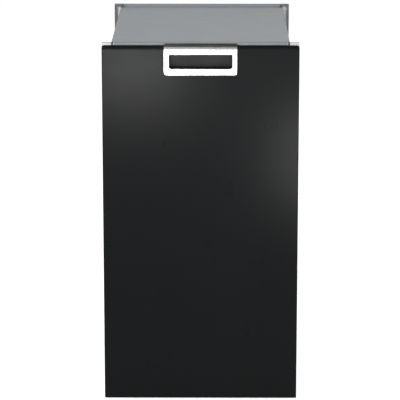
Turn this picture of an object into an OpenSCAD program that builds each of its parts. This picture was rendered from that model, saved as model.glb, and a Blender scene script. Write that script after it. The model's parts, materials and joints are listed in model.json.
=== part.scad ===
// Under-counter trash compactor: a pull-out bin under a screw-driven ram.
// Millimetres. X is across the front, Y runs from the front to the wall, Z is up.
// The origin is on the floor, in the middle of the machine's outer box.

/* [Overall] */
// Width of the drawer front
unit_w = 454; // [378:1:560]
// Height from the floor to the top of the rear brackets
unit_h = 864; // [720:1:1040]
// Depth from the face of the handle to the wall bumpers
unit_d = 610; // [560:1:740]

/* [Cabinet] */
// How far the drawer front stands past the cabinet at each side
side_reveal = 22; // [18:1:30]
// Thickness of the cabinet's sheet steel
sheet = 1.5; // [1:0.1:2]
// Height of the base pan above the floor
base_gap = 20; // [16:1:30]
// Height of the base pan
base_h = 46; // [44:1:60]
// Thickness of the deck over the base pan
deck_t = 2; // [1.5:0.5:4]
// How far the rear brackets stand above the top plate
bracket_rise = 7.5; // [6:0.5:14]
// How far the rear flange stands past the cabinet at each side
flange_reach = 10; // [8:1:12]
// Width of the rear brackets' dark lip
lip_w = 6; // [4:1:8]
// Length of the upright arm of each rear bracket
bracket_leg = 84; // [60:1:96]
// Length of the level arm of each rear bracket
bracket_arm = 24; // [18:1:40]
// Depth of the rear brackets, front to back
bracket_t = 10; // [6:1:14]
// Thickness of the rubber wall bumpers
bumper_t = 19; // [12:1:30]
// Radius of a levelling foot
foot_r = 18; // [14:1:22]

/* [Drawer front] */
// Gap from the floor to the drawer front
panel_gap = 6.5; // [5:0.5:40]
// Thickness of the black front skin
skin_t = 8; // [3:0.1:10]
// Radius of the skin's upper corners
skin_r = 6; // [3:1:12]
// Depth of the frame behind the skin
frame_t = 17; // [14:0.1:30]
// Width of the frame's border
frame_border = 30; // [20:1:50]
// Thickness of the frame's back plate
frame_back = 2; // [1.5:0.5:4]
// How far the frame stands above the skin
frame_rise = 5; // [1:0.5:8]
// Gap from the drawer front to the cabinet
door_gap = 3; // [2:0.5:5]

/* [Handle] */
// Width of the handle's bezel
handle_w = 168; // [140:1:220]
// Height of the handle's bezel
handle_h = 67.5; // [58:0.5:90]
// Width of the bezel's two sides
handle_side = 11; // [8:1:16]
// Width of the bezel's top
handle_top = 19; // [12:1:24]
// Width of the bezel's foot
handle_foot = 15; // [10:1:20]
// How far the bezel stands in front of the skin
handle_proud = 4; // [2:0.5:6]
// Wall of the grip's cup
cup_wall = 2; // [1.5:0.5:3]

/* [Bin] */
// Clearance between the bin and the power screws
bin_clear = 7; // [5:1:12]
// Wall of the bin
bin_wall = 2.5; // [2:0.5:4]
// Radius of the bin's upright corners
bin_r = 20; // [12:1:40]
// Room behind the bin for the motor
motor_room = 106; // [98:1:140]
// How far the drawer opens
drawer_travel = 480; // [440:1:520]
// Height of the slides' outer rail
slide_h = 36; // [32:1:46]
// Thickness of a closed slide
slide_t = 12.7; // [12:0.1:16]

/* [Ram] */
// Travel of the ram
ram_travel = 252; // [180:6:300]
// Clearance between the ram's plate and the bin's inside
platen_clear = 4; // [3:1:10]
// Thickness of the ram's plate
platen_t = 8; // [6:1:12]
// Height of the beam between the power nuts
beam_h = 40; // [30:1:50]
// Radius of the power screws
screw_r = 8; // [7:0.5:9]

/* [Drive] */
// Pitch of the roller chain
chain_pitch = 8; // [6.6:0.1:9.6]
// Radius of the chain's rollers
roller_r = 2.5; // [2:0.1:2.8]
// Radius of the motor's belt pulley
motor_pulley_r = 12; // [10:1:14]
// Radius of the large belt pulley
drive_pulley_r = 66; // [50:1:72]
// Radius of the motor
motor_r = 43; // [36:1:44]
// Height of the motor
motor_h = 118; // [90:1:140]

/* [Hidden] */
$fn = 64;
play = 0.05;        // radial clearance of a running fit
hair = 0.5;         // gap between neighbours that must not touch
screw_teeth = 12;
idler_teeth = 8;

// heights
base_top = base_gap + base_h;
deck_top = base_top + deck_t;
top_z = unit_h - bracket_rise;
frame_top = top_z;
skin_top = frame_top - frame_rise;
bearing_plate_t = 3;
bearing_plate_z = top_z - 28;
beam_z1 = bearing_plate_z - 8;
beam_z0 = beam_z1 - beam_h;
rim_clear = 12;
bin_top = beam_z0 - ram_travel - rim_clear;
platen_z0 = bin_top + rim_clear;
slide_z0 = deck_top + 8;
slide_z1 = slide_z0 + slide_h;
tray_t = 2;
tray_z0 = slide_z1 + 4;
bin_z0 = tray_z0 + tray_t;
fascia_z0 = platen_z0 + 8;
chain_z = base_gap + 28;
belt_z0 = base_gap + 6;
belt_h = 10;

// places across the front
cab_w = unit_w - 2 * side_reveal;
inner_x = cab_w / 2 - sheet;
sprocket_r = chain_pitch / (2 * sin(180 / screw_teeth));
idler_r = chain_pitch / (2 * sin(180 / idler_teeth));
link_h = 7;
screw_x = inner_x - sprocket_r - link_h / 2 - 6;
bin_x = screw_x - screw_r - bin_clear;
rim_t = 2.5;
slide_x = bin_x - 13;           // outer face of each slide's fixed rail
tray_x = bin_x - 3;

// places from front to back
front_y = -unit_d / 2;
skin_y0 = front_y + handle_proud;
frame_y0 = skin_y0 + skin_t;
frame_y1 = frame_y0 + frame_t;
cab_y0 = frame_y1 + door_gap;
cab_y1 = unit_d / 2 - bumper_t;
back_y = cab_y1 - sheet;        // inner face of the back panel
bin_y0 = cab_y0 + 12;
bin_y1 = back_y - motor_room;
screw_y = (bin_y0 + bin_y1) / 2;
motor_y = back_y - motor_r - 4;
drive_y = motor_y - drive_pulley_r - motor_pulley_r - 20;
idler_x = screw_x * 0.53;
idler_y = screw_y + (drive_y - screw_y) * 0.53;
slide_y0 = cab_y0 + 2;

// handle
handle_z1 = skin_top - 1;
handle_z0 = handle_z1 - handle_h;
grip_w = handle_w - 2 * handle_side;
grip_z0 = handle_z0 + handle_foot;
grip_z1 = handle_z1 - handle_top;
cup_back = frame_y1 - frame_back - hair;
housing_w = handle_w - 4;

// rubber buffers
buffer_w = 4.5;
buffer_h = 9;
buffer_x = cab_w / 2 - buffer_w;

// magnetic catches
magnet_w = 30;
magnet_h = 12;
magnet_x = cab_w / 2 - 60;
magnet_z = fascia_z0 + 40;

// controls on the inner fascia
pod_w = 132;
pod_h = 44;
pod_depth = 16;
pod_x = min(cab_w / 2 - 95, 110);
pod_z = top_z - 46;
button_r = 9;
key_r = 8;

// fixings, screws, rails and the ram's own sizes
upstand_x = cab_w / 2 + flange_reach + lip_w - bracket_arm - hair;
anchor_hole_r = 2.25;
anchor_pitch = bracket_leg - 36;
anchor_z = unit_h - bracket_leg + 12;
vent_count = 6;
vent_pitch = 14;
foot_x = inner_x - foot_r - 12;
foot_inset = 46;
rail_t = 1.5;
rail_gap = 0.6;
nest = rail_t + rail_gap;       // from one rail's outer face to the next one's
journal_r = screw_r - 2;
bush_wall = 4;
nut_r = screw_r + 5;
beam_half_y = 26;
column_x = bin_x - bin_wall - platen_clear - 30;
column_y = (bin_y1 - bin_y0) / 2 - bin_wall - platen_clear - 50;
platen_x = bin_x - bin_wall - platen_clear;
platen_y = (bin_y1 - bin_y0) / 2 - bin_wall - platen_clear;
fan_z0 = deck_top + motor_h - 5;
shaft_r = 6;
pin_count = 2 * floor((screw_x - 14) / chain_pitch) + 1;
bezel_r = 7;
filter_z0 = bin_top + 44;

// power rocker
rocker_x = pod_x + 8;
rocker_w = 40;
rocker_y = cab_y0 + 13;
rocker_pin = 1.5;

// wiring loom
loom_r = 3.5;
loom_x = -135;
loom_y = back_y - 12;
loom_z = top_z - 12;
loom_drop = deck_top + 72;
loom_end = sqrt(pow(motor_r, 2) - pow(loom_y - loom_r - motor_y, 2)) + 0.2;

// ---- shapes used by more than one piece ----

// A block between two corners
module block(x0, x1, y0, y1, z0, z1)
    translate([x0, y0, z0]) cube([x1 - x0, y1 - y0, z1 - z0]);

// A flat outline with round corners, centred on the origin
module round_rect(w, h, r) {
    square([w - 2 * r, h], center = true);
    square([w, h - 2 * r], center = true);
    for (sx = [-1, 1], sy = [-1, 1])
        translate([sx * (w / 2 - r), sy * (h / 2 - r)]) circle(r);
}

// An upright prism with round upright corners
module upright(x0, x1, y0, y1, z0, z1, r)
    translate([(x0 + x1) / 2, (y0 + y1) / 2, z0])
        linear_extrude(z1 - z0) round_rect(x1 - x0, y1 - y0, r);

// A slab facing the front, with round corners as seen from the front
module facing(x0, x1, y0, y1, z0, z1, r)
    translate([(x0 + x1) / 2, y1, (z0 + z1) / 2]) rotate([90, 0, 0])
        linear_extrude(y1 - y0) round_rect(x1 - x0, z1 - z0, r);

// An upright round bar on (x, y)
module bar(x, y, z0, z1, r)
    translate([x, y, z0]) cylinder(h = z1 - z0, r = r);

// A round bar that runs from front to back
module level_bar(x, z, y0, y1, r)
    translate([x, y1, z]) rotate([90, 0, 0]) cylinder(h = y1 - y0, r = r);

// Repeats its children, mirrored to the left
module both_sides() {
    children();
    mirror([1, 0, 0]) children();
}

// A flanged bearing bush on the screw's line
module flanged_bush(x, y, z0, z1, bore, wall, flange_z, flange_t)
    difference() {
        union() {
            bar(x, y, z0, z1, bore + wall);
            bar(x, y, flange_z, flange_z + flange_t, bore + wall + 5);
        }
        bar(x, y, z0 - 1, z1 + 1, bore);
    }

// A bundle of wires along straight runs, with a bead at each bend
module loom(points) {
    for (i = [1 : len(points) - 1]) {
        run = points[i] - points[i - 1];
        translate(points[i - 1])
            rotate([0, acos(run[2] / norm(run)), atan2(run[1], run[0])])
                cylinder(h = norm(run), r = loom_r);
    }
    for (i = [1 : len(points) - 2]) translate(points[i]) sphere(r = loom_r + 0.3);
}

// A chain sprocket with a hub under its teeth
module sprocket(x, y, teeth, pitch_r, bore)
    difference() {
        union() {
            bar(x, y, chain_z - 1.5, chain_z + 1.5, pitch_r + 2.2);
            bar(x, y, chain_z - 10, chain_z - 1.5, min(pitch_r - link_h / 2 - 0.5, bore + 4));
        }
        bar(x, y, chain_z - 11, chain_z + 11, bore);
        for (i = [0 : teeth - 1])
            translate([x, y, 0]) rotate(360 * (i + 0.5) / teeth)
                bar(pitch_r, 0, chain_z - 3, chain_z + 3, roller_r);
    }

// ---- cabinet ----

module base_pan() color("gray")
    difference() {
        block(-inner_x, inner_x, cab_y0 + sheet, back_y, base_gap, base_top);
        block(-inner_x + sheet, inner_x - sheet, cab_y0 + 2 * sheet, back_y - sheet,
            base_gap + sheet, base_top + 1);
    }

module deck_plate() color("darkgray")
    difference() {
        block(-inner_x, inner_x, cab_y0 + sheet, back_y, base_top, deck_top);
        for (s = [-1, 1])
            bar(s * screw_x, screw_y, base_top - 1, deck_top + 1, journal_r + play + bush_wall);
        bar(0, motor_y, base_top - 1, deck_top + 1, motor_pulley_r + 6);
    }

// one side of the wrapper, with folded front and rear edges and motor louvres
module side_panel() color("darkgray")
    difference() {
        union() {
            block(inner_x, cab_w / 2, cab_y0, back_y, base_gap, top_z - sheet);
            block(screw_x - screw_r + 2, cab_w / 2, cab_y0, cab_y0 + sheet, base_gap, fascia_z0);
            block(inner_x - 14, cab_w / 2, back_y - sheet, back_y, deck_top, top_z - sheet);
        }
        for (i = [0 : vent_count - 1])
            block(inner_x - 1, cab_w / 2 + 1, motor_y - 25, motor_y + 25,
                deck_top + 20 + i * vent_pitch, deck_top + 26 + i * vent_pitch);
    }

module side_panel_right() side_panel();
module side_panel_left() mirror([1, 0, 0]) side_panel();

module top_plate() color("darkgray") {
    block(-cab_w / 2, cab_w / 2, cab_y0, back_y, top_z - sheet, top_z);
    // upstand between the rear brackets
    block(-upstand_x, upstand_x, back_y - hair - sheet, back_y - hair, top_z - sheet, unit_h);
}

module back_panel() color("lightgray")
    difference() {
        block(-cab_w / 2 - flange_reach, cab_w / 2 + flange_reach, back_y, cab_y1,
            base_gap, top_z + bracket_rise - lip_w);
        // motor vents
        for (i = [0 : vent_count - 1])
            block(-60, 60, back_y - 1, cab_y1 + 1,
                deck_top + 20 + i * vent_pitch, deck_top + 26 + i * vent_pitch);
        // outlet of the odour filter
        for (i = [0 : 4])
            block(-55, 55, back_y - 1, cab_y1 + 1,
                bin_top + 54 + i * 12, bin_top + 59 + i * 12);
        // opening of the power inlet
        block(-150, -120, back_y - 1, cab_y1 + 1, deck_top + 20, deck_top + 44);
    }

// the dark angle at each upper rear corner, which ties the machine to the wall or worktop
module anchor_bracket() color("dimgray")
    difference() {
        union() {
            block(cab_w / 2 + flange_reach, cab_w / 2 + flange_reach + lip_w,
                cab_y1 - bracket_t, cab_y1, unit_h - bracket_leg, unit_h);
            block(cab_w / 2 + flange_reach + lip_w - bracket_arm, cab_w / 2 + flange_reach,
                cab_y1 - bracket_t, cab_y1, unit_h - lip_w, unit_h);
        }
        for (z = [0, anchor_pitch])
            translate([cab_w / 2, cab_y1 - bracket_t / 2, anchor_z + z]) rotate([0, 90, 0])
                cylinder(h = cab_w, r = anchor_hole_r);
    }

module anchor_brackets() both_sides() anchor_bracket();

module front_fascia() color("gray")
    difference() {
        block(-inner_x, inner_x, cab_y0, cab_y0 + sheet, fascia_z0, top_z - sheet);
        block(pod_x - pod_w / 2, pod_x + pod_w / 2, cab_y0 - 1, cab_y0 + sheet + 1,
            pod_z - pod_h / 2, pod_z + pod_h / 2);
        both_sides()
            block(magnet_x, magnet_x + magnet_w, cab_y0 - 1, cab_y0 + sheet + 1,
                magnet_z, magnet_z + magnet_h);
    }

module top_bearing_plate() color("gray")
    difference() {
        union() {
            block(-inner_x, inner_x, screw_y - 45, screw_y + 45,
                bearing_plate_z, bearing_plate_z + bearing_plate_t);
            for (s = [-1, 1])
                block(min(s * inner_x, s * (inner_x - 3)), max(s * inner_x, s * (inner_x - 3)),
                    screw_y - 45, screw_y + 45,
                    bearing_plate_z + bearing_plate_t, top_z - sheet);
        }
        for (s = [-1, 1])
            bar(s * screw_x, screw_y, bearing_plate_z - 1, bearing_plate_z + 30,
                journal_r + play + bush_wall);
    }

module upper_bearings() color("goldenrod")
    for (s = [-1, 1])
        flanged_bush(s * screw_x, screw_y, bearing_plate_z - 3,
            bearing_plate_z + bearing_plate_t + 8, journal_r + play, bush_wall,
            bearing_plate_z - 3, 3);

module deck_bearings() color("goldenrod")
    for (s = [-1, 1])
        flanged_bush(s * screw_x, screw_y, base_top - 6, deck_top + 3,
            journal_r + play, bush_wall, deck_top, 3);

module thrust_bearings() color("silver")
    for (s = [-1, 1])
        difference() {
            bar(s * screw_x, screw_y, base_gap + sheet, base_gap + sheet + 14, journal_r + 8);
            bar(s * screw_x, screw_y, base_gap + sheet + 2, base_gap + sheet + 15,
                journal_r + play);
        }

module levelling_feet() color("dimgray")
    for (x = [-foot_x, foot_x], y = [cab_y0 + foot_inset, back_y - foot_inset]) {
        bar(x, y, 0, 7, foot_r);
        bar(x, y, 7, 12, foot_r * 0.5);
        bar(x, y, 12, base_gap, 5);
    }

module wall_bumpers() color("dimgray")
    for (x = [-1, 1], z = [deck_top + 60, top_z - 90])
        level_bar(x * (cab_w / 2 - 30), z, cab_y1, cab_y1 + bumper_t, 12);

// ---- drawer slides: fixed rail, middle rail and drawer rail at each side ----

// a channel that opens towards the middle of the machine; its web's outer face is at x
module channel(x, z0, z1, depth, y0, y1)
    difference() {
        block(x - depth, x, y0, y1, z0, z1);
        block(x - depth - 1, x - rail_t, y0 - 1, y1 + 1, z0 + rail_t, z1 - rail_t);
    }

module slide_brackets() color("gray")
    both_sides() {
        block(slide_x, slide_x + 2, slide_y0 + 20, bin_y1 - 30, deck_top, slide_z1);
        block(slide_x + 2, slide_x + 8, slide_y0 + 20, bin_y1 - 30, deck_top, deck_top + 2);
    }

module slide_outer_rails() color("silver")
    both_sides()
        channel(slide_x, slide_z0, slide_z1, slide_t - 3, slide_y0, bin_y1);

module slide_middle_rails() color("silver")
    both_sides()
        channel(slide_x - nest, slide_z0 + nest, slide_z1 - nest, slide_t - 3 - rail_gap,
            slide_y0, bin_y1);

module slide_inner_rails() color("silver")
    both_sides()
        channel(slide_x - 2 * nest, slide_z0 + 2 * nest, slide_z1 - 2 * nest,
            slide_t - 2 * nest, slide_y0, bin_y1);

// ---- drive ----

module motor_body() color("gray")
    difference() {
        union() {
            bar(0, motor_y, deck_top + 6, deck_top + 6 + motor_h, motor_r);
            bar(0, motor_y, deck_top + 6 + motor_h, deck_top + 18 + motor_h, motor_r - 8);
        }
        bar(0, motor_y, deck_top, deck_top + 20 + motor_h, 5 + play);
        bar(0, motor_y, deck_top + motor_h - 8, deck_top + 15 + motor_h, motor_r - 11);
    }

module motor_mount() color("gray")
    difference() {
        union() {
            block(-motor_r - 14, motor_r + 14, motor_y - motor_r, motor_y + motor_r,
                deck_top + 3, deck_top + 6);
            for (s = [-1, 1], y = [motor_y - motor_r + 8, motor_y + motor_r - 8])
                bar(s * (motor_r + 6), y, deck_top, deck_top + 3, 6);
        }
        bar(0, motor_y, deck_top, deck_top + 9, 16);
    }

module motor_pulley() color("silver") {
    bar(0, motor_y, belt_z0 - 1.5, belt_z0, motor_pulley_r + 2.5);
    bar(0, motor_y, belt_z0, belt_z0 + belt_h, motor_pulley_r);
    bar(0, motor_y, belt_z0 + belt_h, belt_z0 + belt_h + 1.5, motor_pulley_r + 2.5);
    bar(0, motor_y, belt_z0 + belt_h + 1.5, deck_top + 8 + motor_h, 5);
}

module motor_fan() color("dimgray")
    difference() {
        union() {
            bar(0, motor_y, fan_z0, fan_z0 + 12, 12);
            bar(0, motor_y, fan_z0, fan_z0 + 1.5, motor_r - 14);
            for (i = [0 : 7])
                translate([0, motor_y, 0]) rotate(45 * i)
                    block(10, motor_r - 15, -0.8, 0.8, fan_z0, fan_z0 + 12);
        }
        bar(0, motor_y, fan_z0 - 1, fan_z0 + 13, 5);
    }

module drive_shaft() color("silver")
    bar(0, drive_y, base_gap + sheet + 0.5, base_top - 0.5, shaft_r);

module drive_shaft_bearings() color("goldenrod") {
    difference() {
        bar(0, drive_y, base_gap + sheet, belt_z0 - 1, shaft_r + 6);
        bar(0, drive_y, base_gap, belt_z0, shaft_r + play);
    }
    difference() {
        bar(0, drive_y, base_top - 8, base_top, shaft_r + 8);
        bar(0, drive_y, base_top - 9, base_top + 1, shaft_r + play);
    }
}

module drive_pulley() color("silver")
    difference() {
        bar(0, drive_y, belt_z0, belt_z0 + belt_h, drive_pulley_r);
        bar(0, drive_y, belt_z0 - 1, belt_z0 + belt_h + 1, shaft_r);
        // the web is thinner than the rim
        difference() {
            bar(0, drive_y, belt_z0 + 4, belt_z0 + belt_h + 1, drive_pulley_r - 5);
            bar(0, drive_y, belt_z0 + 3, belt_z0 + belt_h + 2, shaft_r + 6);
        }
        for (i = [0 : 5])
            translate([0, drive_y, 0]) rotate(60 * i)
                bar(drive_pulley_r * 0.58, 0, belt_z0 - 1, belt_z0 + 5, drive_pulley_r * 0.2);
    }

module drive_sprocket() color("dimgray")
    sprocket(0, drive_y, screw_teeth, sprocket_r, shaft_r);

module drive_belt() color("black")
    translate([0, 0, belt_z0 + 1]) linear_extrude(belt_h - 2)
        difference() {
            hull() {
                translate([0, drive_y]) circle(drive_pulley_r + 3);
                translate([0, motor_y]) circle(motor_pulley_r + 3);
            }
            hull() {
                translate([0, drive_y]) circle(drive_pulley_r + 0.3);
                translate([0, motor_y]) circle(motor_pulley_r + 0.3);
            }
        }

// the outline that the chain's pitch line makes, grown by g
module chain_outline(g)
    hull() {
        for (s = [-1, 1]) translate([s * screw_x, screw_y]) circle(sprocket_r + g);
        translate([0, drive_y]) circle(sprocket_r + g);
        translate([idler_x, idler_y]) circle(idler_r + g);
    }

// two loops of link plates, joined by the pins of the front run
module drive_chain() color("dimgray") {
    for (z = [chain_z - 3.6, chain_z + 2.4])
        translate([0, 0, z]) linear_extrude(1.2)
            difference() {
                chain_outline(link_h / 2);
                chain_outline(-link_h / 2);
            }
    for (i = [0 : pin_count - 1])
        bar((i - (pin_count - 1) / 2) * chain_pitch, screw_y - sprocket_r,
            chain_z - 3, chain_z + 3, 1.6);
}

module tensioner_arm() color("gray")
    difference() {
        union() {
            block(idler_x - 40, idler_x + 9, idler_y - 9, idler_y + 9,
                base_gap + sheet, base_gap + sheet + 3);
            bar(idler_x, idler_y, base_gap + sheet, chain_z + 6, 4);
        }
        for (i = [-1, 1])
            bar(idler_x - 26 + i * 6, idler_y, base_gap, base_gap + sheet + 4, 2.5);
    }

module idler_sprocket() color("silver")
    sprocket(idler_x, idler_y, idler_teeth, idler_r, 4 + play);

// a power screw: thread in the middle, journals at its two ends
module power_screw(s) color("silver") {
    bar(s * screw_x, screw_y, base_gap + sheet + 2.2, deck_top + 3, journal_r);
    bar(s * screw_x, screw_y, deck_top + 3, bearing_plate_z - 3, screw_r);
    bar(s * screw_x, screw_y, bearing_plate_z - 3, bearing_plate_z + bearing_plate_t + 6,
        journal_r);
}

module power_screw_left() power_screw(-1);
module power_screw_right() power_screw(1);
module sprocket_left() color("dimgray")
    sprocket(-screw_x, screw_y, screw_teeth, sprocket_r, journal_r);
module sprocket_right() color("dimgray")
    sprocket(screw_x, screw_y, screw_teeth, sprocket_r, journal_r);

// ---- ram ----

module power_nuts() color("goldenrod")
    for (s = [-1, 1])
        flanged_bush(s * screw_x, screw_y, beam_z0 - 6, beam_z1 + 4, screw_r + play, 5,
            beam_z0 - 6, 6);

// an inverted channel across the machine
module ram_beam() color("dimgray")
    difference() {
        block(-screw_x - 16, screw_x + 16, screw_y - beam_half_y, screw_y + beam_half_y,
            beam_z0, beam_z1);
        block(-screw_x - 17, screw_x + 17, screw_y - beam_half_y + 3, screw_y + beam_half_y - 3,
            beam_z0 + 3, beam_z1 + 1);
        for (s = [-1, 1])
            bar(s * screw_x, screw_y, beam_z0 - 1, beam_z1 + 1, nut_r + play);
    }

module ram_column() color("gray")
    difference() {
        upright(-column_x, column_x, screw_y - column_y, screw_y + column_y,
            platen_z0 + platen_t, beam_z0, 10);
        upright(-column_x + 2, column_x - 2, screw_y - column_y + 2, screw_y + column_y - 2,
            platen_z0 + platen_t + 2, beam_z0 - 2, 8);
    }

module ram_platen() color("silver")
    difference() {
        upright(-platen_x, platen_x, screw_y - platen_y, screw_y + platen_y,
            platen_z0, platen_z0 + platen_t, bin_r - bin_wall - platen_clear);
        // shallow grooves that grip the rubbish
        for (i = [-3 : 3])
            block(-platen_x + 24, platen_x - 24, screw_y + i * platen_y / 4 - 3,
                screw_y + i * platen_y / 4 + 3, platen_z0 - 1, platen_z0 + 2);
    }

module ram_bolts() color("silver")
    for (x = [-1, 1], y = [-1, 1])
        translate([x * (column_x - 24), screw_y + y * 14, beam_z0 + 3])
            cylinder(h = 5, r = 7, $fn = 6);

// ---- drawer ----

// the skin's outline: round corners at the top and square ones at the foot
module skin_outline() {
    translate([0, (skin_top - panel_gap) / 2]) round_rect(unit_w, skin_top - panel_gap, skin_r);
    translate([-unit_w / 2, 0]) square([unit_w, 2 * skin_r]);
}

module front_skin() color("black")
    difference() {
        translate([0, frame_y0, panel_gap]) rotate([90, 0, 0])
            linear_extrude(skin_t) skin_outline();
        block(-housing_w / 2, housing_w / 2, skin_y0 - 1, frame_y0 + 1,
            grip_z0 - cup_wall, skin_top + 1);
    }

module drawer_frame() color("lightgray")
    difference() {
        block(-unit_w / 2, unit_w / 2, frame_y0, frame_y1, panel_gap, frame_top);
        // open to the skin between its border and two cross rails
        for (span = [[panel_gap + frame_border, bin_z0 + 60],
                     [bin_z0 + 84, handle_z0 - 14]])
            block(-unit_w / 2 + frame_border, unit_w / 2 - frame_border,
                frame_y0 - 1, frame_y1 - frame_back, span[0], span[1]);
        block(-grip_w / 2 - cup_wall, grip_w / 2 + cup_wall, frame_y0 - 1, frame_y1 - frame_back,
            grip_z0 - cup_wall, grip_z1 + cup_wall);
        both_sides()
            block(buffer_x, buffer_x + buffer_w, frame_y0 - 1, frame_y1 + 1,
                frame_top - buffer_h, frame_top + 1);
    }

// rubber buffers in the frame's top edge, which meet the cabinet's upper corners
module corner_buffers() color("black")
    both_sides()
        block(buffer_x, buffer_x + buffer_w, frame_y0, cab_y0 - 0.3,
            frame_top - buffer_h, frame_top + 0.6);

module handle_bezel() color("white")
    difference() {
        facing(-handle_w / 2, handle_w / 2, front_y, skin_y0, handle_z0, handle_z1, bezel_r);
        facing(-grip_w / 2, grip_w / 2, front_y - 1, skin_y0 + 1, grip_z0, grip_z1, 4);
    }

// the grip's black housing: a cup in the frame, a plate in the skin and a lip above it
module handle_housing() color("black")
    difference() {
        union() {
            block(-housing_w / 2, housing_w / 2, skin_y0, frame_y0,
                grip_z0 - cup_wall, frame_top);
            block(-grip_w / 2 - cup_wall, grip_w / 2 + cup_wall, skin_y0, cup_back,
                grip_z0 - cup_wall, grip_z1 + cup_wall);
        }
        block(-grip_w / 2, grip_w / 2, skin_y0 - 1, cup_back - cup_wall, grip_z0, grip_z1);
    }

module drawer_tray() color("gray") {
    block(-tray_x, tray_x, frame_y1, bin_y1, tray_z0, bin_z0);
    // flange that bolts to the drawer front
    block(-tray_x, tray_x, frame_y1, frame_y1 + 2, bin_z0, bin_z0 + 80);
    both_sides()
        block(slide_x - slide_t - 2, slide_x - slide_t, slide_y0, bin_y1,
            slide_z0 + 2 * nest, tray_z0);
}

module trash_bin() color("silver")
    difference() {
        union() {
            upright(-bin_x, bin_x, bin_y0, bin_y1, bin_z0, bin_top - 10, bin_r);
            upright(-bin_x - rim_t, bin_x + rim_t, bin_y0 - rim_t, bin_y1 + rim_t,
                bin_top - 10, bin_top, bin_r + rim_t);
        }
        upright(-bin_x + bin_wall, bin_x - bin_wall, bin_y0 + bin_wall, bin_y1 - bin_wall,
            bin_z0 + bin_wall, bin_top + 1, bin_r - bin_wall);
    }

// the ring that clamps the bag's mouth on the rim
module bag_ring() color("dimgray")
    difference() {
        upright(-bin_x - rim_t, bin_x + rim_t, bin_y0 - rim_t, bin_y1 + rim_t,
            bin_top, bin_top + 4, bin_r + rim_t);
        upright(-bin_x + bin_wall, bin_x - bin_wall, bin_y0 + bin_wall, bin_y1 - bin_wall,
            bin_top - 1, bin_top + 5, bin_r - bin_wall);
    }

// magnetic catches: magnets on the cabinet's fascia, steel plates on the drawer's frame
module catch_magnets() color("dimgray")
    both_sides()
        block(magnet_x, magnet_x + magnet_w, cab_y0 - 0.8, cab_y0 + 12,
            magnet_z, magnet_z + magnet_h);

module catch_plates() color("silver")
    both_sides()
        block(magnet_x - 2, magnet_x + magnet_w + 2, frame_y1, frame_y1 + 1.2,
            magnet_z - 4, magnet_z + magnet_h + 4);

// ---- controls and electrics ----

module control_pod() color("black")
    difference() {
        block(pod_x - pod_w / 2, pod_x + pod_w / 2, cab_y0, cab_y0 + pod_depth,
            pod_z - pod_h / 2, pod_z + pod_h / 2);
        block(pod_x - pod_w / 2 + 3, pod_x + pod_w / 2 - 3, cab_y0 - 1, cab_y0 + 10,
            pod_z - pod_h / 2 + 3, pod_z + pod_h / 2 - 3);
        level_bar(pod_x - 40, pod_z, cab_y0, cab_y0 + pod_depth + 1, button_r + hair);
        block(rocker_x, rocker_x + rocker_w, cab_y0, cab_y0 + pod_depth + 1,
            pod_z - 12, pod_z + 12);
        translate([rocker_x - 3, rocker_y, pod_z]) rotate([0, 90, 0])
            cylinder(h = rocker_w + 6, r = rocker_pin + play);
    }

module start_button() color("green")
    difference() {
        level_bar(pod_x - 40, pod_z, cab_y0 + 5, cab_y0 + 19, button_r);
        level_bar(pod_x - 40, pod_z, cab_y0 + 4, cab_y0 + 5.6, button_r - 2);
    }

// a rocker that tips about its level pin
module power_rocker() color("dimgray")
    difference() {
        union() {
            block(rocker_x + 1, rocker_x + rocker_w - 1, rocker_y - 6, rocker_y + 3,
                pod_z - 9, pod_z + 9);
            translate([rocker_x - 2.6, rocker_y, pod_z]) rotate([0, 90, 0])
                cylinder(h = rocker_w + 5.2, r = rocker_pin);
        }
        block(rocker_x, rocker_x + rocker_w, rocker_y - 7, rocker_y - 5.2,
            pod_z - 2, pod_z + 2);
    }

module control_box() color("gray")
    difference() {
        block(pod_x - pod_w / 2, pod_x + pod_w / 2, cab_y0 + 24, cab_y0 + 66,
            pod_z - pod_h / 2, pod_z + pod_h / 2 - 4);
        block(pod_x - pod_w / 2 + 2, pod_x + pod_w / 2 - 2, cab_y0 + 26, cab_y0 + 64,
            pod_z - pod_h / 2 + 2, pod_z + pod_h / 2 - 6);
    }

module motor_capacitor() color("dimgray")
    bar(-motor_r - 42, motor_y, deck_top, deck_top + 90, 18);

module power_inlet() color("black")
    difference() {
        union() {
            block(-150 + hair, -120 - hair, back_y - 20, cab_y1, deck_top + 20 + hair,
                deck_top + 44 - hair);
            block(-154, -116, cab_y1, cab_y1 + 3, deck_top + 16, deck_top + 48);
        }
        block(-147, -123, cab_y1 - 14, cab_y1 + 4, deck_top + 24, deck_top + 40);
    }

module filter_housing() color("gray")
    difference() {
        block(-70, 70, back_y - 42, back_y, filter_z0, filter_z0 + 84);
        block(-67, 67, back_y - 38, back_y + 1, filter_z0 + 3, filter_z0 + 81);
        for (i = [0 : 4])
            block(-55, 55, back_y - 43, back_y - 37,
                filter_z0 + 10 + i * 14, filter_z0 + 16 + i * 14);
    }

module carbon_filter() color("black")
    block(-66, 66, back_y - 34, back_y - 8, filter_z0 + 4, filter_z0 + 80);

// microswitches: one feels the top of the ram's stroke, the other the closed drawer
module limit_switches() color("black") {
    block(-inner_x, -inner_x + 10, screw_y + 50, screw_y + 78, bearing_plate_z - 22,
        bearing_plate_z);
    block(-inner_x, -inner_x + 20, cab_y0 + sheet, cab_y0 + sheet + 12, magnet_z + 40,
        magnet_z + 68);
}

// the loom from the inlet and the motor to the control box, along the back and the top
module wiring_loom() color("dimgray") {
    loom([[loom_x, loom_y, deck_top + 44 - hair], [loom_x, loom_y, loom_z],
        [pod_x - 20, loom_y, loom_z], [pod_x - 20, cab_y0 + 90, loom_z],
        [pod_x - 20, cab_y0 + 90, pod_z + 8], [pod_x - 20, cab_y0 + 66, pod_z + 8]]);
    loom([[loom_x, loom_y, loom_drop], [-loom_end, loom_y, loom_drop]]);
}

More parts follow.
